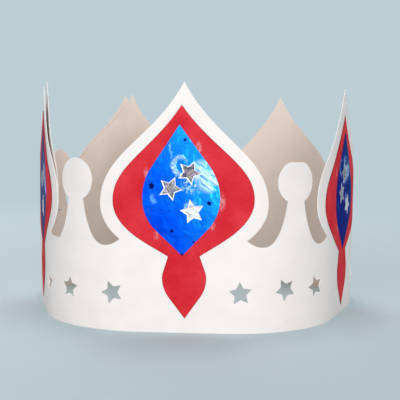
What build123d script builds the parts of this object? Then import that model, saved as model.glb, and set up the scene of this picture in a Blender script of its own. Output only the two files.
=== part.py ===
from build123d import *
import os
from math import acos, atan2, copysign, degrees, pi, radians, sin, sqrt, tan

os.makedirs("parts", exist_ok=True)

# A child's paper crown: one strip of white card, cut along the top into onion-dome peaks and
# ball finials, pierced with punched stars and stapled into a ring. Each peak carries a red
# paper panel, a blue foil leaf on the panel and three silver star stickers on the leaf.
# Millimetres, +Z up, the rim stands on Z = 0, peak 1 faces -Y and the others follow
# counterclockwise seen from above.

# The ring. The glued papers keep each peak flat in the middle, so that the strip stands as a
# pentagon with flat_width sides and round corners.
girth = 565.0
peak_count = 5
flat_width = 40.0
card = 0.4

# The peaks, cut from the strip. A corner is where a peak meets the notch beside it. Each pull,
# shoulder and belly is the lead of a curve: how far it runs on before it turns.
peak_height = 120.5
peak_half_width = 41.2
peak_widest = 62.0
peak_shoulder = 24.0
peak_tip_pull = (14.3, 27.5)
peak_corner_inset = 10.6
peak_corner_pull = (4.7, 3.2)
peak_belly = 8.0
corner_height = 44.8
corner_tuck = 5.0

# The notches and the ball finials between the peaks. One ball was cut flat on top.
notch_floor = 41.6
notch_floor_reach = 17.5
notch_corner_pull = 3.5
notch_corner_turn = (1.9, 1.6)
finial_ball_radius = 10.6
finial_ball_height = 73.0
finial_neck_half_width = 5.0
stem_flare = (1.2, 7.8)
stem_foot_spread = 7.8
cut_finial = 0
flat_cut_depth = 1.0

# The punched stars, one punch for all. Each row lists the distance from the finial above it,
# the height and the turn of each star. The first row is right of peak 1, the second left of it,
# and the rows that go round the back repeat them. The row under the staple is left out.
punch_radius = 5.9
punch_waist = 3.0
punched_row_a = [(-28.7, 19.4, 4), (-5.5, 20.6, 29), (15.0, 20.4, 18)]
punched_row_b = [(-28.0, 18.2, -4), (-4.3, 18.8, -4), (21.9, 18.7, 21)]
back_row_turn = 26.0

# The red panels. The place of each is its shift to the right, its shift up and its tilt.
glue_line = 0.05
red_paper = 0.2
panel_side_margin = 6.9
panel_tip_margin = 11.0
panel_widest = 64.0
panel_shoulder = 16.8
panel_tip_pull = (14.7, 21.7)
panel_belly = 13.6
panel_waist_pull = (8.2, 5.5)
waist_half_width = 7.6
waist_height = 37.1
waist_round = 10.0
tail_half_width = 10.6
tail_widest = 26.5
tail_round = 15.5
tail_foot = 7.0
panel_places = [(-0.1, 0, 1.3), (0.3, -3, -0.4), (-0.6, -1, 0.8), (0.5, -0.6, -0.9), (-0.4, -1.6, 0.4)]

# The blue foil leaves, placed on their panels
foil = 0.15
leaf_half_width = 18.7
leaf_tip_margin = 9.3
leaf_widest = 65.0
leaf_foot_gap = 0.3
leaf_upper_round = 26.5
leaf_lower_round = 21.5
leaf_places = [(-0.9, 0.0, 0.4), (0.4, 0.5, -0.8), (0.2, -0.4, 1.0), (-0.5, 0.3, -0.6), (0.6, 0.2, 0.7)]

# The silver star stickers. Each spot is a shift and a lift from the middle of the leaf, as
# shares of the leaf's half width, and a turn. Each leaf has the same group, turned a little as
# a whole, with its stars turned further one by one.
sticker = 0.12
sticker_radius = 6.0
sticker_waist = 3.0
sticker_spots = [(-0.27, 0.26, -25), (0.23, 0.66, -27), (0.285, -0.34, 11)]
sticker_group_turns = [0, 22, -14, 31, -20]
sticker_turn_step = 17.0

# The closure. The outer end of the strip stops short of peak 4, where a ramp leads the card in
# behind it. From there the inner end runs on behind peak 4, peak 5 and the finial between them,
# where one staple holds both layers. It lies a little askew, so that its peaks stand beside and
# above the outer ones, and from just above the notch floors it leans into the crown.
lap_corner = 3
lap_end = 16.0
lap_ramp = 4.0
lap_gap = 0.15
lap_fold_rise = 1.2
lap_shift = -2.5
lap_tilt = 1.3
lap_lean = 1.2
staple_wire = 0.5
staple_crown = 9.8
staple_leg_fold = 3.4
staple_height = 48.8
staple_tilt = 10.0
staple_clearance = 0.05

# How deep the cutters reach on both sides of the card
cut_inward = 12.0
cut_outward = 4.0

# How much of a side an arc may take before its straight part starts, as a share of the largest
# arc that fits there
arc_room = 0.9

# Sizes that follow
turn = 360 / peak_count
pitch = girth / peak_count
corner_radius = (girth - peak_count * flat_width) / (2 * pi)
lap_start = pitch / 2 - peak_half_width + peak_corner_inset
lap_fold_height = notch_floor + lap_fold_rise
core_apothem = flat_width / 2 / tan(pi / peak_count)
core_reach = flat_width / 2 / sin(pi / peak_count)
wall = core_apothem + corner_radius
red_start = card + glue_line
leaf_start = red_start + red_paper + glue_line
sticker_start = leaf_start + foil + glue_line
stack = sticker_start + sticker
ring_centre = Pos(0, (wall + stack - core_reach - corner_radius - card) / 2, 0)


def ring_outline(gap):
    """The ring seen from above, gap outside the inner face of the card."""
    core = RegularPolygon(core_reach, peak_count, rotation=-90 - turn / 2)
    return offset(core, corner_radius + gap, kind=Kind.ARC)


def sheet(gap, thickness):
    """A closed band of paper as tall as the peaks, gap outside the inner face of the card."""
    return extrude(ring_outline(gap + thickness) - ring_outline(gap), peak_height)


def on_peak(number):
    """The middle of a peak at the rim: X to the right, Z up, -Y out of the crown."""
    return Rot(0, 0, number * turn) * Pos(0, -wall, 0)


def on_corner(number, distance=0):
    """A place round the bend between two peaks, at a distance along the card from the finial."""
    bend = degrees(distance / corner_radius)
    vertex = Rot(0, 0, (number + 0.5) * turn) * Pos(0, -core_reach, 0)
    return vertex * Rot(0, 0, bend) * Pos(0, -corner_radius, 0)


def across_peak(distance):
    """Straight sideways reach of a distance along the card from the middle of a peak."""
    bent = max(abs(distance) - flat_width / 2, 0) / corner_radius
    return copysign(min(abs(distance), flat_width / 2) + corner_radius * sin(bent), distance)


def across_corner(distance):
    """Straight sideways reach of a distance along the card from the middle of a finial."""
    return corner_radius * sin(distance / corner_radius)


def placed(point, places):
    """A point of the flat paper after each place has tilted and shifted it."""
    for shift, lift, tilt in places:
        point = (point - Vector(0, peak_widest)).rotate(Axis.Z, tilt)
        point = point + Vector(shift, lift + peak_widest)
    return point


def symmetric_face(right_side, across, places=()):
    """A standing face from the curves of its right half: two points are a line, three an arc and
    four a free curve. The outline is placed on the flat paper first, then bent with the paper."""
    kinds = {2: Line, 3: ThreePointArc, 4: Bezier}
    edges = []
    for side in (1, -1):
        for curve in right_side:
            flat = [placed(Vector(side * x, z), places) for x, z in curve]
            points = [(across(point.X), point.Y) for point in flat]
            edges.append(kinds[len(points)](*points))
    return Plane.XZ * make_face(edges)


def round_then_straight(widest, radius, end):
    """The side of a leaf shape: an arc from its widest point, then a line straight to its end. The
    arc is never larger than the side has room for."""
    inward, along = widest[0] - end[0], widest[1] - end[1]
    radius = min(radius, arc_room * (inward**2 + along**2) / (2 * inward))
    centre = Vector(widest[0] - radius, widest[1])
    reach = Vector(*end) - centre
    side = copysign(1, reach.Y)
    bend = side * degrees(atan2(side * reach.Y, reach.X) - acos(radius / reach.length))
    middle, touch = [centre + Vector(radius, 0).rotate(Axis.Z, bend * share) for share in (0.5, 1)]
    touch = (touch.X, touch.Y)
    return [[widest, (middle.X, middle.Y), touch], [touch, end]]


def star_face(radius, waist):
    """A five-pointed star standing on the XZ plane, one point up."""
    reaches = [radius, waist] * 5
    corners = [Vector(0, reach).rotate(Axis.Z, 36 * step) for step, reach in enumerate(reaches)]
    return Plane.XZ * make_face(Polyline(*corners, close=True))


def through_card(face):
    """A cutter in the shape of a standing face, deep enough for the bent card."""
    return Pos(0, cut_inward, 0) * extrude(face, cut_inward + cut_outward)


def round_bend(number, distance, gap):
    """A point seen from above: round a bend by a distance, gap outside the card's inner face."""
    return (on_corner(number, distance) * Pos(0, -gap, 0)).position


def across_ramp(gaps_before, gaps_after):
    """The stretch of the ramp seen from above, between two gaps at each of its ends."""
    before, after = lap_start - lap_ramp, lap_start
    ends = [(before, gap) for gap in gaps_before] + [(after, gap) for gap in gaps_after]
    return make_face(Polyline(*[round_bend(lap_corner - 1, *end) for end in ends], close=True))


def lap_plan():
    """The inner layer seen from above, from the ramp to its cut edge."""
    far = 2 * wall
    corners = [
        round_bend(lap_corner - 1, lap_start, -corner_radius),
        round_bend(lap_corner - 1, lap_start, far),
        round_bend(lap_corner, 0, 2 * far),
        round_bend(lap_corner + 1, -lap_end, far),
        round_bend(lap_corner + 1, -lap_end, -corner_radius),
    ]
    layer = ring_outline(-lap_gap) - ring_outline(-lap_gap - card)
    return layer & make_face(Polyline(*corners, close=True))


def leaning_wall():
    """The inner layer above its fold, which leans into the crown all round."""
    folds = [Pos(0, 0, lap_fold_height) * ring_outline(gap) for gap in (-lap_gap, -lap_gap - card)]
    outer_skin, inner_skin = [extrude(fold, peak_height, taper=lap_lean) for fold in folds]
    return outer_skin - inner_skin


def lap_places(pitches):
    """How the inner layer lies at some pitches past the finial before it: the further, the higher."""
    lift = (pitches * pitch - lap_start) * tan(radians(lap_tilt))
    return [(lap_shift, lift, lap_tilt)]


def peak_face(places=()):
    """One peak from below the notch floor to the tip."""
    foot = notch_floor - corner_tuck
    corner = (peak_half_width - peak_corner_inset, corner_height)
    widest = (peak_half_width, peak_widest)
    corner_pull = (corner[0] + peak_corner_pull[0], corner[1] + peak_corner_pull[1])
    shoulder_pull = (widest[0], widest[1] + peak_shoulder)
    tip_pull = (peak_tip_pull[0], peak_height - peak_tip_pull[1])
    right_side = [
        [(0, foot), (corner[0], foot)],
        [(corner[0], foot), corner],
        [corner, corner_pull, (widest[0], widest[1] - peak_belly), widest],
        [widest, shoulder_pull, tip_pull, (0, peak_height)],
    ]
    return symmetric_face(right_side, across_peak, places)


def finial_face(number, places=()):
    """One ball finial with its stem, and the notch floor out to the peaks on both sides."""
    foot = notch_floor - corner_tuck
    corner = (pitch / 2 - peak_half_width + peak_corner_inset, corner_height)
    tuck = corner[0] + corner_tuck
    neck_drop = sqrt(finial_ball_radius**2 - finial_neck_half_width**2)
    neck = (finial_neck_half_width, finial_ball_height - neck_drop)
    floor_end = (notch_floor_reach, notch_floor)
    floor_pull = (notch_floor_reach + notch_corner_pull, notch_floor)
    stem_foot_pull = (notch_floor_reach - stem_foot_spread, notch_floor)
    neck_pull = (neck[0] + stem_flare[0], neck[1] - stem_flare[1])
    corner_pull = (corner[0] - notch_corner_turn[0], corner[1] - notch_corner_turn[1])
    right_side = [
        [(0, foot), (tuck, foot)],
        [(tuck, foot), (tuck, corner[1])],
        [(tuck, corner[1]), corner],
        [corner, corner_pull, floor_pull, floor_end],
        [floor_end, stem_foot_pull, neck_pull, neck],
        [neck, (0, finial_ball_height)],
    ]
    ball = Circle(finial_ball_radius)
    if number == cut_finial:
        offcut = Rectangle(3 * finial_ball_radius, 2 * finial_ball_radius)
        ball -= Pos(0, 2 * finial_ball_radius - flat_cut_depth) * offcut
    ball_middle = placed(Vector(0, finial_ball_height), places)
    ball = Plane.XZ * Pos(ball_middle.X, ball_middle.Y) * ball
    return symmetric_face(right_side, across_corner, places) + ball


def panel_face(number):
    """The red panel: an onion dome over a narrow waist and a pointed tail."""
    top = peak_height - panel_tip_margin
    widest = (peak_half_width - panel_side_margin, panel_widest)
    waist = (waist_half_width, waist_height)
    waist_pull = (waist[0] + panel_waist_pull[0], waist[1] + panel_waist_pull[1])
    shoulder_pull = (widest[0], widest[1] + panel_shoulder)
    tip_pull = (panel_tip_pull[0], top - panel_tip_pull[1])
    tail = (tail_half_width, tail_widest)
    right_side = [
        *round_then_straight(tail, tail_round, (0, tail_foot)),
        *round_then_straight(tail, waist_round, waist),
        [waist, waist_pull, (widest[0], widest[1] - panel_belly), widest],
        [widest, shoulder_pull, tip_pull, (0, top)],
    ]
    return symmetric_face(right_side, across_peak, [panel_places[number]])


def leaf_face(number):
    """The blue foil leaf on the panel, pointed at both ends."""
    top = peak_height - panel_tip_margin - leaf_tip_margin
    foot = waist_height + leaf_foot_gap
    widest = (leaf_half_width, leaf_widest)
    right_side = [
        *round_then_straight(widest, leaf_lower_round, (0, foot)),
        *round_then_straight(widest, leaf_upper_round, (0, top)),
    ]
    return symmetric_face(right_side, across_peak, [leaf_places[number], panel_places[number]])


def sticker_face(number, index):
    """One silver star sticker, placed with its leaf."""
    shift, lift, star_turn = sticker_spots[index]
    group_turn = sticker_group_turns[number]
    middle = Vector(shift, lift).rotate(Axis.Z, group_turn) * leaf_half_width
    middle = middle + Vector(0, leaf_widest)
    middle = placed(middle, [leaf_places[number], panel_places[number]])
    tilt = leaf_places[number][2] + panel_places[number][2] + group_turn
    star_turn += tilt + number * sticker_turn_step
    star = star_face(sticker_radius, sticker_waist)
    return Pos(middle.X, 0, middle.Y) * Rot(0, -star_turn, 0) * star


def punched_row(number):
    """The three punched stars round one finial: distance, height and turn."""
    if number == 0:
        return punched_row_a
    if number == peak_count - 1:
        return punched_row_b
    row = punched_row_b if number % 2 else punched_row_a
    if number == lap_corner:
        return []
    return [(distance, height, star_turn + number * back_row_turn) for distance, height, star_turn in row]


# The card, cut out and bent round
strip = sheet(0, card)
band_height = notch_floor - corner_tuck
pieces = [strip & Pos(0, 0, band_height / 2) * Box(3 * wall, 3 * wall, band_height)]
for number in range(peak_count):
    pieces.append(strip & on_peak(number) * through_card(peak_face()))
    pieces.append(strip & on_corner(number) * through_card(finial_face(number)))
crown = pieces[0] + pieces[1:]

# The lap: the outer end is cut off at the foot of peak 4, the ramp leads in and the inner layer
# runs on behind
slot = across_ramp((-cut_outward, cut_outward), (cut_outward, -cut_outward))
crown -= extrude(slot, corner_height)
ramp = extrude(across_ramp((0, card), (-lap_gap, -lap_gap - card)), notch_floor)
inner_layer = [ramp, extrude(lap_plan(), lap_fold_height)]
lap_cutters = [
    on_peak(lap_corner) * through_card(peak_face(lap_places(0.5))),
    on_corner(lap_corner) * through_card(finial_face(lap_corner, lap_places(1))),
    on_peak(lap_corner + 1) * through_card(peak_face(lap_places(1.5))),
]
leaning = leaning_wall()
inner_layer += [leaning & cutter for cutter in lap_cutters]
crown = crown + inner_layer
punch = star_face(punch_radius, punch_waist)
for number in range(peak_count):
    for distance, height, star_turn in punched_row(number):
        spot = on_corner(number, distance) * Pos(0, 0, height) * Rot(0, -star_turn, 0)
        crown -= spot * through_card(punch)

# The staple, its crown inside and its legs folded flat outside
staple_spot = on_corner(lap_corner) * Pos(0, 0, staple_height) * Rot(0, -staple_tilt, 0)
leg = (staple_crown - staple_wire) / 2
leg_droop = corner_radius - sqrt(corner_radius**2 - leg**2)
lean_there = (staple_height - lap_fold_height) * tan(radians(lap_lean))
crown_depth = leg_droop + lap_gap + card + lean_there + staple_clearance + staple_wire / 2
lap_face = card + staple_clearance + staple_wire / 2
wire_line = Polyline(
    (-leg + staple_leg_fold, -lap_face),
    (-leg, -lap_face),
    (-leg, crown_depth),
    (leg, crown_depth),
    (leg, -lap_face),
    (leg - staple_leg_fold, -lap_face),
)
staple = staple_spot * extrude(trace(wire_line, staple_wire), staple_wire / 2, both=True)
leg_hole = Plane.XZ * Rectangle(staple_wire + 2 * staple_clearance, staple_wire + 2 * staple_clearance)
for side in (1, -1):
    crown -= staple_spot * Pos(side * leg, 0, 0) * through_card(leg_hole)

nodes = {"crown_band": crown, "closure_staple": staple}

# The glued papers, each layer bent round the one below it
red_sheet = sheet(red_start, red_paper)
foil_sheet = sheet(leaf_start, foil)
sticker_sheet = sheet(sticker_start, sticker)
for number in range(peak_count):
    peak = number + 1
    nodes[f"red_panel_{peak}"] = red_sheet & on_peak(number) * through_card(panel_face(number))
    nodes[f"foil_leaf_{peak}"] = foil_sheet & on_peak(number) * through_card(leaf_face(number))
    for index, letter in enumerate("abc"):
        star = on_peak(number) * through_card(sticker_face(number, index))
        nodes[f"silver_star_{peak}{letter}"] = sticker_sheet & star

for name, piece in nodes.items():
    export_step(ring_centre * piece, f"parts/{name}.step")
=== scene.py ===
from math import pi, radians

import bpy
from mathutils import Matrix, Vector


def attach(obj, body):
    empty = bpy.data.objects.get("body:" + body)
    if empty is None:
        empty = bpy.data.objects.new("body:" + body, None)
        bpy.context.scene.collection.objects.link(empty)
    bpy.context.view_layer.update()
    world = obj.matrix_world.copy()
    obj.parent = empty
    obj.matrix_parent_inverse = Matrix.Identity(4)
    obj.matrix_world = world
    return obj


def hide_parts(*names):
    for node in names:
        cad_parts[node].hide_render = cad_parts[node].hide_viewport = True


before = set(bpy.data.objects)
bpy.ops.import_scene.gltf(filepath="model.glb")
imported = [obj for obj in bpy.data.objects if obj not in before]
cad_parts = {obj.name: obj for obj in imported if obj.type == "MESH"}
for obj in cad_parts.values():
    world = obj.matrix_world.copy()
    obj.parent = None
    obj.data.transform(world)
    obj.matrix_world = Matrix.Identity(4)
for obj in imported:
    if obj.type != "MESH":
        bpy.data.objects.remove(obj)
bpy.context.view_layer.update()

# The card band is one strip of white-coated board, cut out by hand, pierced with a star punch and
# bent into a ring. The coated outside is smooth and nearly white and the bare inside is rougher.
# The inside is painted creamier, as the warm shade within the ring, and the cut edges show the
# pale felt of the board, painted a little lighter as the highlight that a cut edge catches.
coat_colour = "#F8F0ED"
bare_shade_colour = "#FAEAE0"
felt_highlight_colour = "#FBF8F4"
card_roughness = {"To Min": 0.82, "To Max": 0.5}  # the bare inside and the coated outside
ring_setback = 2.94  # mm, how far the middle of the ring lies in front of the origin
edge_look, face_look = 0.4, 0.6  # a cut edge looks out of the ring by less, a face by more
pulp_cloud = 12.0  # mm across, the cloudiness of the pulp
pulp_light = {"To Min": 0.955, "To Max": 1.01}  # the brightness of its thick and thin places
noise_middle = {"From Min": 0.3, "From Max": 0.7}  # where most of a noise pattern's values lie
handling_wave = 34.0  # mm, slow waves left by bending and handling
wave_depth = 0.0012  # m
board_tooth = 1.1  # mm; the real tooth is about 0.2 mm, drawn coarser so that it shows
tooth_depth = 0.00008  # m


def srgb(hex_colour):
    """An sRGB hex colour as the linear colour that a shader socket takes."""
    channels = [int(hex_colour[i : i + 2], 16) / 255 for i in (1, 3, 5)]
    linear = [c / 12.92 if c <= 0.04045 else ((c + 0.055) / 1.055) ** 2.4 for c in channels]
    return (*linear, 1.0)


def add_node(tree, kind, inputs={}, output=0, **settings):
    """Adds a shader node with its settings, fills or links its inputs, and gives one output."""
    node = tree.nodes.new("ShaderNode" + kind)
    for name, value in settings.items():
        setattr(node, name, value)
    for key, value in inputs.items():
        if isinstance(value, bpy.types.NodeSocket):
            tree.links.new(value, node.inputs[key])
        else:
            node.inputs[key].default_value = value
    return node.outputs[output]


def new_material(name, plain_values):
    """A new material and its Principled shader, with the values that are the same all over."""
    material = bpy.data.materials.new(name)
    material.use_nodes = True
    shader = material.node_tree.nodes["Principled BSDF"]
    for socket, value in plain_values.items():
        shader.inputs[socket].default_value = value
    return material, material.node_tree, shader


def dress(name, material):
    """Gives a piece of the crown its one material."""
    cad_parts[name].data.materials.clear()
    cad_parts[name].data.materials.append(material)


def paper_sides(tree):
    """Millimetres about the middle of the ring, and how far a face looks out of it: 1 outside,
    -1 inside and about 0 on a cut edge."""
    place = add_node(tree, "TexCoord", output="Object")
    normal = add_node(tree, "TexCoord", output="Normal")
    centred = {"Location": (0, ring_setback, 0), "Scale": (1000, 1000, 1000)}
    millimetres = add_node(tree, "Mapping", {"Vector": place, **centred})
    level = add_node(tree, "VectorMath", {0: millimetres, 1: (1, 1, 0)}, operation="MULTIPLY")
    outward = add_node(tree, "VectorMath", {0: level}, operation="NORMALIZE")
    both = {0: outward, 1: normal}
    looks_out = add_node(tree, "VectorMath", both, "Value", operation="DOT_PRODUCT")
    return millimetres, looks_out


card, tree, shader = new_material("white_coated_board", {"IOR": 1.48, "Specular IOR Level": 0.4})
millimetres, looks_out = paper_sides(tree)
outside = add_node(
    tree, "MapRange", {"Value": looks_out, "From Min": edge_look, "From Max": face_look}
)
inside = add_node(
    tree, "MapRange", {"Value": looks_out, "From Min": -edge_look, "From Max": -face_look}
)
# The cut edges are painted lighter as a highlight, and the inside creamier as shade
card_colour = srgb(felt_highlight_colour)
for share, colour in ((outside, coat_colour), (inside, bare_shade_colour)):
    layer = {"Fac": share, "Color1": card_colour, "Color2": srgb(colour)}
    card_colour = add_node(tree, "MixRGB", layer)
cloud = add_node(tree, "TexNoise", {"Vector": millimetres, "Scale": 1 / pulp_cloud, "Detail": 4.0})
cloud = add_node(tree, "MapRange", {"Value": cloud, **noise_middle, **pulp_light})
card_colour = add_node(tree, "HueSaturation", {"Value": cloud, "Color": card_colour})
tree.links.new(card_colour, shader.inputs["Base Color"])
roughness = add_node(
    tree, "MapRange", {"Value": looks_out, "From Min": -1.0, "From Max": 1.0, **card_roughness}
)
tree.links.new(roughness, shader.inputs["Roughness"])
wave = add_node(
    tree, "TexNoise", {"Vector": millimetres, "Scale": 1 / handling_wave, "Detail": 1.0}
)
bump = add_node(tree, "Bump", {"Height": wave, "Distance": wave_depth, "Strength": 0.6})
tooth = add_node(
    tree, "TexNoise", {"Vector": millimetres, "Scale": 1 / board_tooth, "Detail": 3.0}
)
bump = add_node(
    tree, "Bump", {"Height": tooth, "Distance": tooth_depth, "Strength": 0.7, "Normal": bump}
)
tree.links.new(bump, shader.inputs["Normal"])
dress("crown_band", card)

# The staple is zinc-plated steel wire, pushed through both ends of the strip with its legs folded
# flat outside. Drawn wire is bright and smooth, with fine marks left by the drawing die.
zinc_colour = "#C3C6CB"
die_mark = 0.12  # mm
wire_roughness = {"To Min": 0.2, "To Max": 0.42}

wire, tree, shader = new_material(
    "zinc_plated_wire", {"Metallic": 1.0, "Base Color": srgb(zinc_colour)}
)
millimetres, looks_out = paper_sides(tree)
marks = add_node(tree, "TexNoise", {"Vector": millimetres, "Scale": 1 / die_mark, "Detail": 1.0})
roughness = add_node(tree, "MapRange", {"Value": marks, **wire_roughness})
tree.links.new(roughness, shader.inputs["Roughness"])
dress("closure_staple", wire)

# The red panels are cut from sugar paper, a soft unsized paper dyed in the pulp, and stuck on with
# paper glue. It is matt, with short fibres and a few darker flecks, and glue that was pushed out
# from under the foil has dried in pale smears beside it. Its cut edges and a narrow band beside
# them are painted dark red, as the shadow line round each panel.
red_colours = ("#D5222F", "#E73B47")  # where the dye took more and less
red_edge_shadow = "#6E101A"
red_fleck = "#AE1826"
dried_glue = "#F6C6CB"
red_roughness = {"To Min": 0.88, "To Max": 0.35}  # the paper and the glue on it
peak_count = 5
wall = 85.62  # mm from the middle of the ring to a peak
dye_cloud = 16.0  # mm across, where the dye took more or less
fibre_length = 2.4  # mm; the real fibres are about 1 mm long, drawn longer so that they show
fibre_width = 0.5  # mm
fibre_turns = (25, -48)  # degrees, the two ways in which the fibres lie
# How bright the paper is between the fibres and on them
fibre_light = {"From Min": 0.75, "From Max": 1.25, "To Min": 0.93, "To Max": 1.05}
fibre_depth = 0.0001  # m
fleck_gap = 5.0  # mm from fleck to fleck
fleck_size = {"From Min": 0.05, "From Max": 0.1}  # from its core to its rim, as a share of the gap
fleck_strength = {"To Min": 0.55, "To Max": 0.0}  # at its core and past its rim
edge_shadow_reach = 0.5  # mm beside a cut; the real one is about 0.2 mm
edge_shadow_strength = 0.8
smear_streak = 1.5  # mm
smear_strength = {"From Min": 0.36, "From Max": 0.7, "To Max": 0.75}  # from thin glue to thick
smear_change = 37.0  # from peak to peak, so that no two have the same smears
# Each smear: right of the peak's middle, above the rim, half its width and half its height, in mm
smear_places = [
    (18.2, 63.6, 1.5, 3.2),
    (7.0, 88.4, 1.1, 3.0),
    (14.0, 52.2, 0.9, 1.8),
    (-12.7, 47.2, 1.0, 1.6),
    (-17.8, 77.0, 0.9, 2.0),
]


def flat_place(tree, millimetres):
    """The place on the flat paper of any peak: millimetres to the right of its middle and above
    the rim, and the number of the peak: 0 at the front, 1 and 2 to the right, -1 and -2 to the
    left."""
    x, y, z = [add_node(tree, "SeparateXYZ", {"Vector": millimetres}, axis) for axis in "XYZ"]
    forward = add_node(tree, "Math", {0: y, 1: -1.0}, operation="MULTIPLY")
    bearing = add_node(tree, "Math", {0: x, 1: forward}, operation="ARCTAN2")
    half_turn = pi / peak_count
    local = add_node(tree, "Math", {0: bearing, 1: half_turn, 2: -half_turn}, operation="WRAP")
    slope = add_node(tree, "Math", {0: local}, operation="TANGENT")
    sideways = add_node(tree, "Math", {0: slope, 1: wall}, operation="MULTIPLY")
    peak_bearing = add_node(tree, "Math", {0: bearing, 1: local}, operation="SUBTRACT")
    peak = add_node(tree, "Math", {0: peak_bearing, 1: 2 * half_turn}, operation="DIVIDE")
    flat = add_node(tree, "CombineXYZ", {"X": sideways, "Y": z, "Z": 0.0})
    return flat, peak


def near_spots(tree, flat, spots, soft):
    """How far a point of the flat paper is inside the nearest of some oval spots: 1 in it and 0
    past its soft rim."""
    rim = {"From Min": 1 - soft, "From Max": 1 + soft, "To Min": 1.0, "To Max": 0.0}
    nearest = 0.0
    for x, z, half_width, half_height in spots:
        middle = (-x / half_width, -z / half_height, 0)
        scale = (1 / half_width, 1 / half_height, 0)
        scaled = add_node(tree, "Mapping", {"Vector": flat, "Location": middle, "Scale": scale})
        distance = add_node(tree, "VectorMath", {0: scaled}, "Value", operation="LENGTH")
        spot = add_node(
            tree, "MapRange", {"Value": distance, **rim}, interpolation_type="SMOOTHSTEP"
        )
        nearest = add_node(tree, "Math", {0: nearest, 1: spot}, operation="MAXIMUM")
    return nearest


def cut_through(tree, looks_out):
    """1 on a cut edge of the paper and 0 on its faces."""
    side = add_node(tree, "Math", {0: looks_out}, operation="ABSOLUTE")
    looks = {"From Min": edge_look, "From Max": face_look, "To Min": 1.0, "To Max": 0.0}
    return add_node(tree, "MapRange", {"Value": side, **looks})


def near_cut(tree, reach):
    """1 on a cut edge, fading to 0 within the reach in mm beside it: the painted shadow line."""
    rounded = add_node(tree, "Bevel", {"Radius": reach / 1000}, samples=8)
    flat_normal = add_node(tree, "NewGeometry", output="True Normal")
    both = {0: rounded, 1: flat_normal}
    alike = add_node(tree, "VectorMath", both, "Value", operation="DOT_PRODUCT")
    rounding = {"From Min": 0.995, "From Max": 0.9}  # cosines, of 6 and of 26 degrees
    return add_node(tree, "MapRange", {"Value": alike, **rounding})


red, tree, shader = new_material("red_sugar_paper", {"IOR": 1.45, "Specular IOR Level": 0.25})
millimetres, looks_out = paper_sides(tree)
flat, peak = flat_place(tree, millimetres)
dye = add_node(tree, "TexNoise", {"Vector": millimetres, "Scale": 1 / dye_cloud, "Detail": 3.0})
dye = add_node(tree, "MapRange", {"Value": dye, **noise_middle})
red_colour = add_node(
    tree, "MixRGB", {"Fac": dye, "Color1": srgb(red_colours[0]), "Color2": srgb(red_colours[1])}
)
layers = []
for fibre_turn in fibre_turns:
    laid = {"Rotation": (0, 0, radians(fibre_turn)), "Scale": (fibre_length, fibre_width, 1)}
    laid = add_node(tree, "Mapping", {"Vector": flat, **laid}, vector_type="TEXTURE")
    layers.append(add_node(tree, "TexNoise", {"Vector": laid, "Scale": 1.0, "Detail": 2.0}))
fibres = add_node(tree, "Math", {0: layers[0], 1: layers[1]}, operation="ADD")
light = add_node(tree, "MapRange", {"Value": fibres, **fibre_light})
red_colour = add_node(tree, "HueSaturation", {"Value": light, "Color": red_colour})
fleck = add_node(tree, "TexVoronoi", {"Vector": millimetres, "Scale": 1 / fleck_gap})
fleck = add_node(tree, "MapRange", {"Value": fleck, **fleck_size, **fleck_strength})
# A narrow band of painted shadow beside each cut edge
edge_shadow = near_cut(tree, edge_shadow_reach)
edge_shadow = add_node(tree, "Math", {0: edge_shadow, 1: edge_shadow_strength}, operation="MULTIPLY")
cut_edge = cut_through(tree, looks_out)
cut_edge = add_node(tree, "Math", {0: cut_edge, 1: edge_shadow}, operation="MAXIMUM")
glued = near_spots(tree, flat, smear_places, soft=0.75)
change = add_node(tree, "Math", {0: peak, 1: smear_change}, operation="MULTIPLY")
streak = add_node(
    tree,
    "TexNoise",
    {"Vector": flat, "W": change, "Scale": 1 / smear_streak, "Detail": 4.0, "Distortion": 1.2},
    noise_dimensions="4D",
)
streak = add_node(tree, "MapRange", {"Value": streak, **smear_strength})
smear = add_node(tree, "Math", {0: streak, 1: glued}, operation="MULTIPLY")
# Over the red: the flecks, the painted shadow at the cut edges, and the glue smears
for share, colour in ((fleck, red_fleck), (cut_edge, red_edge_shadow), (smear, dried_glue)):
    layer = {"Fac": share, "Color1": red_colour, "Color2": srgb(colour)}
    red_colour = add_node(tree, "MixRGB", layer)
tree.links.new(red_colour, shader.inputs["Base Color"])
roughness = add_node(tree, "MapRange", {"Value": smear, **red_roughness})
tree.links.new(roughness, shader.inputs["Roughness"])
bump = add_node(tree, "Bump", {"Height": fibres, "Distance": fibre_depth, "Strength": 0.6})
tree.links.new(bump, shader.inputs["Normal"])
for number in range(1, peak_count + 1):
    dress(f"red_panel_{number}", red)

# The blue leaves are cut from metallic foil paper and stuck on with the same glue. The lacquer
# over the metal is deep blue, and each leaf is painted lighter, up to sky blue, towards its upper
# right as a reflection of the lamp. Glue was brushed on it round the stars and dried in pale
# strokes, and it is finely creased. A few small metal specks on it are painted dark, as the dark
# room that they mirror.
# The lacquer's deep blue, then two lighter blues painted as a reflection of the lamp
foil_blues_with_reflection = ("#0042E0", "#0968EE", "#1898EC")  # from the lower left to the upper right
foil_glue = "#DDF6FF"
foil_haze = "#6CBBFF"
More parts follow.
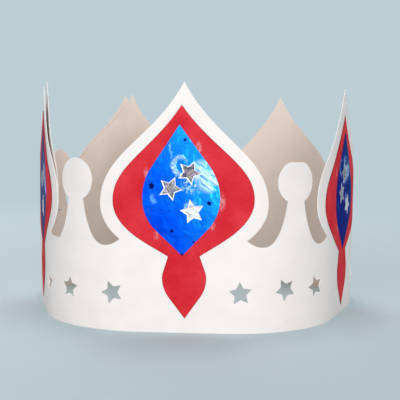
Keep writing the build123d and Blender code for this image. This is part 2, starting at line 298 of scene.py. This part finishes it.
# The painted dark reflection in the small metal specks
foil_speck_reflection = "#0A1050"
foil_edge = "#6A62D8"
foil_slant = "#040814"  # the lacquer darkens what the foil mirrors at a slant
foil_metallic = {"To Min": 0.92, "To Max": 0.1}  # the lacquered foil and the glue on it
foil_roughness = {"To Min": 0.28, "To Max": 0.5}  # the same two
foil_change = 41.0  # from peak to peak, so that no two leaves are alike
foot_to_tip = {"From Min": 38.0, "From Max": 98.0, "To Max": 0.8}  # mm, and its part in the blend
left_to_right = {"From Min": -18.0, "From Max": 18.0}  # mm
second_blue = {"From Min": 0.75, "From Max": 1.35}  # where in the blend it takes over
third_blue = {"From Min": 1.4, "From Max": 2.0}  # and where this one does
leaf_widest = 65.0  # mm above the rim
blend_drift = 14.0  # mm
crease_size = 7.0  # mm
crease_depth = 0.0009  # m
glue_depth = 0.00025  # m
stroke_length = 8.0  # mm, the strokes of the glue brush
stroke_width = 2.0  # mm
stroke_turn = 38  # degrees that the strokes fall to the right
stroke_strength = {"From Min": 0.36, "From Max": 0.64, "To Max": 0.95}  # from thin glue to thick
bead_size = 1.1  # mm, where the glue dried in beads
bead_strength = {"From Min": 0.48, "From Max": 0.68, "To Max": 0.8}
curl_strength = {"To Min": 0.24, "To Max": 0.85}  # between the beads and on them
haze_strength = 0.7
ragged_reach = 2.4  # mm by which the rims of spots wander
# The glue was brushed on round the stars, and it is turned with them. These are the degrees by
# which each leaf's stars are turned, for the peaks to the right of the front one, 1 and 2, and for
# those to its left, -1 and -2.
group_turns = {1: 22, 2: -14, -2: 31, -1: -20}
# Each spot: right of the leaf's middle, above the rim, half its width and half its height, in mm
stroke_places = [(7.8, 78.2, 4.0, 4.4), (11.8, 73.6, 4.6, 4.8)]
bead_places = [(4.4, 71.4, 4.6, 3.4), (3.6, 60.6, 3.0, 2.6)]
curl_outside = [(-1.9, 80.6, 4.0, 5.0)]
curl_inside = [(-0.9, 80.6, 3.0, 3.4)]
haze_places = [
    (-15.0, 65.3, 0.8, 1.3),
    (-14.0, 63.4, 1.1, 1.0),
    (-6.5, 89.2, 0.5, 2.2),
    (-5.8, 86.0, 0.5, 1.6),
]
# Small metal specks, painted dark as the dark room that they mirror
speck_places = [
    (0.5, 92.8, 0.75, 0.75),
    (6.0, 90.2, 0.5, 0.5),
    (-15.1, 70.8, 1.4, 1.3),
    (12.3, 63.1, 1.2, 1.0),
    (-5.5, 49.3, 0.8, 0.8),
    (5.2, 44.3, 0.6, 0.6),
    (-0.5, 37.9, 0.9, 0.9),
]

foil, tree, shader = new_material("blue_foil_paper", {"Specular Tint": srgb(foil_slant)})
millimetres, looks_out = paper_sides(tree)
flat, peak = flat_place(tree, millimetres)
change = add_node(tree, "Math", {0: peak, 1: foil_change}, operation="MULTIPLY")
sideways, height = [add_node(tree, "SeparateXYZ", {"Vector": flat}, axis) for axis in "XY"]
turned_back = 0.0
for number, group_turn in group_turns.items():
    nearly_equal = {0: peak, 1: number, 2: 0.3}
    here = add_node(tree, "Math", nearly_equal, operation="COMPARE")
    turned_here = {0: here, 1: -radians(group_turn), 2: turned_back}
    turned_back = add_node(tree, "Math", turned_here, operation="MULTIPLY_ADD")
leaf_middle = {"Center": (0, leaf_widest, 0), "Angle": turned_back}
flat = add_node(tree, "VectorRotate", {"Vector": flat, **leaf_middle}, rotation_type="Z_AXIS")

# The lacquer's deep blue, painted lighter up to sky blue at the upper right as a reflection
drift = add_node(
    tree,
    "TexNoise",
    {"Vector": flat, "W": change, "Scale": 1 / blend_drift, "Detail": 5.0, "Distortion": 0.6},
    noise_dimensions="4D",
)
rise = add_node(tree, "MapRange", {"Value": height, **foot_to_tip})
right = add_node(tree, "MapRange", {"Value": sideways, **left_to_right})
blend = add_node(tree, "Math", {0: rise, 1: right}, operation="ADD")
blend = add_node(tree, "Math", {0: blend, 1: drift}, operation="ADD")
foil_colour = srgb(foil_blues_with_reflection[0])
for takes_over, blue in ((second_blue, foil_blues_with_reflection[1]), (third_blue, foil_blues_with_reflection[2])):
    share = add_node(tree, "MapRange", {"Value": blend, **takes_over})
    layer = {"Fac": share, "Color1": foil_colour, "Color2": srgb(blue)}
    foil_colour = add_node(tree, "MixRGB", layer)

# The dried glue: brushed strokes, a curl round the upper star, and beads between the stars
along = {"Rotation": (0, 0, -radians(stroke_turn)), "Scale": (stroke_length, stroke_width, 1)}
brushed = add_node(tree, "Mapping", {"Vector": flat, **along}, vector_type="TEXTURE")
strokes = add_node(
    tree,
    "TexNoise",
    {"Vector": brushed, "W": change, "Scale": 1.0, "Detail": 3.0, "Distortion": 0.7},
    noise_dimensions="4D",
)
strokes = add_node(tree, "MapRange", {"Value": strokes, **stroke_strength})
stroked = near_spots(tree, flat, stroke_places, soft=0.45)
glue = add_node(tree, "Math", {0: strokes, 1: stroked}, operation="MULTIPLY")
beads = add_node(
    tree,
    "TexNoise",
    {"Vector": flat, "W": change, "Scale": 1 / bead_size, "Detail": 3.0, "Distortion": 0.8},
    noise_dimensions="4D",
)
beads = add_node(tree, "MapRange", {"Value": beads, **bead_strength})
beaded = near_spots(tree, flat, bead_places, soft=0.5)
beaded = add_node(tree, "Math", {0: beads, 1: beaded}, operation="MULTIPLY")
glue = add_node(tree, "Math", {0: glue, 1: beaded}, operation="MAXIMUM")
wander = add_node(tree, "TexNoise", {"Vector": flat, "Scale": 0.9, "Detail": 3.0}, "Color")
wander = add_node(tree, "VectorMath", {0: wander, 1: (0.5, 0.5, 0.5)}, operation="SUBTRACT")
reach = (ragged_reach, ragged_reach, 0)
wander = add_node(tree, "VectorMath", {0: wander, 1: reach}, operation="MULTIPLY")
ragged = add_node(tree, "VectorMath", {0: flat, 1: wander}, operation="ADD")
curl = near_spots(tree, ragged, curl_outside, soft=0.14)
curl_hole = near_spots(tree, ragged, curl_inside, soft=0.3)
curl = add_node(tree, "Math", {0: curl, 1: curl_hole}, operation="SUBTRACT", use_clamp=True)
strength = add_node(tree, "MapRange", {"Value": beads, **curl_strength})
curl = add_node(tree, "Math", {0: curl, 1: strength}, operation="MULTIPLY")
glue = add_node(tree, "Math", {0: glue, 1: curl}, operation="MAXIMUM")

# Over the lacquer: a haze of thin glue, the glue, the specks painted dark as a reflection,
# and the cut edges
haze = near_spots(tree, ragged, haze_places, soft=0.75)
haze = add_node(tree, "MapRange", {"Value": haze, "To Max": haze_strength})
specks = near_spots(tree, ragged, speck_places, soft=0.35)
cut_edge = cut_through(tree, looks_out)
for share, colour in (
    (haze, foil_haze),
    (glue, foil_glue),
    (specks, foil_speck_reflection),
    (cut_edge, foil_edge),
):
    layer = {"Fac": share, "Color1": foil_colour, "Color2": srgb(colour)}
    foil_colour = add_node(tree, "MixRGB", layer)
tree.links.new(foil_colour, shader.inputs["Base Color"])
metallic = add_node(tree, "MapRange", {"Value": glue, **foil_metallic})
tree.links.new(metallic, shader.inputs["Metallic"])
roughness = add_node(tree, "MapRange", {"Value": glue, **foil_roughness})
tree.links.new(roughness, shader.inputs["Roughness"])
creases = add_node(
    tree,
    "TexNoise",
    {"Vector": flat, "W": change, "Scale": 1 / crease_size, "Detail": 5.0, "Distortion": 0.5},
    noise_dimensions="4D",
)
bump = add_node(tree, "Bump", {"Height": creases, "Distance": crease_depth, "Strength": 0.45})
bump = add_node(
    tree, "Bump", {"Height": glue, "Distance": glue_depth, "Strength": 0.6, "Normal": bump}
)
tree.links.new(bump, shader.inputs["Normal"])
for number in range(1, peak_count + 1):
    dress(f"foil_leaf_{number}", foil)

# The star stickers are die-cut from silver holographic film on a paper back, three on each leaf.
# The die has left a bright raised rim round each star. Inside it the film's facets are painted as
# small grey and mauve glints, and by the way its star was turned one film on each leaf is painted
# bright, as the lamp's reflection in it, and the others dark.
rim_width = 0.00042  # m
film_drop = 0.00005  # m that the film lies below the rim
glint_size = 0.8  # mm; the real ones are finer, drawn coarser so that they show
rim_colour = "#DEDAE2"
rim_roughness = {"To Min": 0.25, "To Max": 0.55}
film_tones = ("#302B37", "#958E9E")  # the darkest and the lightest glint of a dark film
# The painted reflection of the lamp, and how much of it each star's film has
film_lamp_reflection = "#EDEBEA"
film_reflection_share = {"a": 0.1, "b": 0.0, "c": 0.75}
film_roughness = {"To Min": 0.18, "To Max": 0.45}
rainbow_share = 0.3  # how much of a glint's own rainbow colour shows

rim, tree, shader = new_material(
    "pressed_silver_rim", {"Metallic": 0.6, "Base Color": srgb(rim_colour)}
)
millimetres, looks_out = paper_sides(tree)
scuffs = add_node(
    tree, "TexNoise", {"Vector": millimetres, "Scale": 1 / glint_size, "Detail": 3.0}
)
roughness = add_node(tree, "MapRange", {"Value": scuffs, **rim_roughness})
tree.links.new(roughness, shader.inputs["Roughness"])

film, tree, shader = new_material("silver_holographic_film", {"Metallic": 0.75})
millimetres, looks_out = paper_sides(tree)
# Painted glints: a lighter or darker grey for each facet, with its own rainbow colour
painted_glints = add_node(tree, "TexVoronoi", {"Vector": millimetres, "Scale": 1 / glint_size}, "Color")
tone = add_node(tree, "SeparateColor", {"Color": painted_glints}, "Red")
gloss = add_node(tree, "SeparateColor", {"Color": painted_glints}, "Green")
reflection_share = add_node(tree, "Attribute", output="Fac", attribute_name="film_reflection_share")
film_colour = srgb(film_tones[0])
for share, colour in ((tone, film_tones[1]), (reflection_share, film_lamp_reflection)):
    layer = {"Fac": share, "Color1": film_colour, "Color2": srgb(colour)}
    film_colour = add_node(tree, "MixRGB", layer)
rainbow = {"Fac": rainbow_share, "Color1": film_colour, "Color2": painted_glints}
film_colour = add_node(tree, "MixRGB", rainbow, blend_type="OVERLAY")
tree.links.new(film_colour, shader.inputs["Base Color"])
roughness = add_node(tree, "MapRange", {"Value": gloss, **film_roughness})
tree.links.new(roughness, shader.inputs["Roughness"])

for number in range(1, peak_count + 1):
    outward = Matrix.Rotation(2 * pi * (number - 1) / peak_count, 3, "Z") @ Vector((0, -1, 0))
    for letter, reflection_share in film_reflection_share.items():
        node = f"silver_star_{number}{letter}"
        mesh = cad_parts[node].data.copy()
        star = bpy.data.objects.new(f"star_sticker_{number}{letter}", mesh)
        mesh.materials.clear()
        mesh.materials.append(rim)
        mesh.materials.append(film)
        bpy.context.collection.objects.link(star)
        bpy.ops.object.select_all(action="DESELECT")
        star.select_set(True)
        bpy.context.view_layer.objects.active = star
        bpy.ops.object.mode_set(mode="EDIT")
        bpy.ops.mesh.select_mode(type="FACE")
        bpy.ops.mesh.select_all(action="SELECT")
        bpy.ops.mesh.remove_doubles(threshold=0.000001)
        bpy.ops.mesh.dissolve_limited(angle_limit=radians(1))
        bpy.ops.mesh.select_all(action="DESELECT")
        bpy.ops.object.mode_set(mode="OBJECT")
        for face in mesh.polygons:
            face.select = face.normal.dot(outward) > 0.9
        bpy.ops.object.mode_set(mode="EDIT")
        bpy.ops.mesh.inset(thickness=rim_width, depth=-film_drop)
        star.active_material_index = 1
        bpy.ops.object.material_slot_assign()
        bpy.ops.object.mode_set(mode="OBJECT")
        all_faces = mesh.attributes.new("film_reflection_share", "FLOAT", "FACE")
        for face in all_faces.data:
            face.value = reflection_share
        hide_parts(node)
        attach(star, "root")

# The crown stands on a wide sheet of pale paper that runs back out of sight, so there is no edge
# behind it. Away from the crown the sheet shows the same even tone as the room beyond.
sheet_tone = "#D3E7EF"
room_tone = "#BCCDD4"
sheet_size = 6.0  # m
fade = {"From Min": 0.3, "From Max": 0.8}  # m from the middle of the sheet


def seen_by_eye(tree):
    """1 for a ray from the camera, straight or by way of a glossy or a clear surface, else 0."""
    seen = 0.0
    for ray in ("Is Camera Ray", "Is Glossy Ray", "Is Transmission Ray"):
        seen_by_ray = add_node(tree, "LightPath", output=ray)
        seen = add_node(tree, "Math", {0: seen, 1: seen_by_ray}, operation="MAXIMUM")
    return seen


bpy.ops.object.select_all(action="DESELECT")
bpy.ops.mesh.primitive_plane_add(size=sheet_size, location=(0, 0, 0))
sheet = bpy.context.object
sheet.name = "paper_sheet"
sheet_paper, tree, shader = new_material(
    "pale_backdrop_paper", {"Roughness": 0.9, "Base Color": srgb(sheet_tone)}
)
place = add_node(tree, "TexCoord", output="Object")
distance = add_node(tree, "VectorMath", {0: place}, "Value", operation="LENGTH")
away = add_node(tree, "MapRange", {"Value": distance, **fade}, interpolation_type="SMOOTHSTEP")
even = add_node(tree, "Math", {0: away, 1: seen_by_eye(tree)}, operation="MULTIPLY")
even_tone = add_node(tree, "Emission", {"Color": srgb(room_tone), "Strength": 1.0})
faded = add_node(tree, "MixShader", {"Fac": even, 1: shader.outputs[0], 2: even_tone})
tree.links.new(faded, tree.nodes["Material Output"].inputs["Surface"])
sheet.data.materials.append(sheet_paper)

# The studio light: an even pale room, a soft lamp low at the front right, a weaker one at the
# front left, one above and a little behind, which grounds the crown, and one behind.
room_light = "#FFFAF6"
room_strength = {"To Min": 0.4, "To Max": 1.0}  # as light, and as seen
# Each lamp: its place and its width in m, and its power in W
lamps = {
    "key_lamp": ((0.35, -1.5, 0.2), 0.4, 8.8),
    "fill_lamp": ((-0.7, -1.5, 0.4), 0.7, 5.2),
    "top_lamp": ((0.05, 0.55, 1.8), 0.7, 7.0),
    "back_lamp": ((-0.5, 1.6, 0.7), 1.0, 7.5),
}

world = bpy.data.worlds.new("pale_room")
world.use_nodes = True
tree = world.node_tree
room = tree.nodes["Background"]
seen = seen_by_eye(tree)
room_colour = add_node(
    tree, "MixRGB", {"Fac": seen, "Color1": srgb(room_light), "Color2": srgb(room_tone)}
)
tree.links.new(room_colour, room.inputs["Color"])
strength = add_node(tree, "MapRange", {"Value": seen, **room_strength})
tree.links.new(strength, room.inputs["Strength"])
bpy.context.scene.world = world
for name, (place, width, power) in lamps.items():
    light = bpy.data.lights.new(name, "AREA")
    light.size = width
    light.energy = power
    lamp = bpy.data.objects.new(name, light)
    bpy.context.collection.objects.link(lamp)
    lamp.location = place
    lamp.rotation_euler = Vector(place).to_track_quat("Z", "Y").to_euler()

# The camera, where the photograph was taken from: half a metre off, a little below the tips of
# the peaks, looking down by about 4 degrees and held very nearly level.
camera_place = Vector((0.0319, -0.4997, 0.0952))  # m
camera_heading = 0.0582  # radians to the left of straight on
camera_dip = 0.0747  # radians
camera_tilt = 0.0112  # radians

camera_data = bpy.data.cameras.new("camera")
camera_data.sensor_width = 36
camera_data.lens = 77.92
camera_data.clip_start = 0.01
camera = bpy.data.objects.new("camera", camera_data)
bpy.context.collection.objects.link(camera)
camera.matrix_world = (
    Matrix.Translation(camera_place)
    @ Matrix.Rotation(camera_heading, 4, "Z")
    @ Matrix.Rotation(radians(90) - camera_dip, 4, "X")
    @ Matrix.Rotation(camera_tilt, 4, "Z")
)
bpy.context.scene.camera = camera
bpy.context.scene.view_settings.view_transform = "Standard"
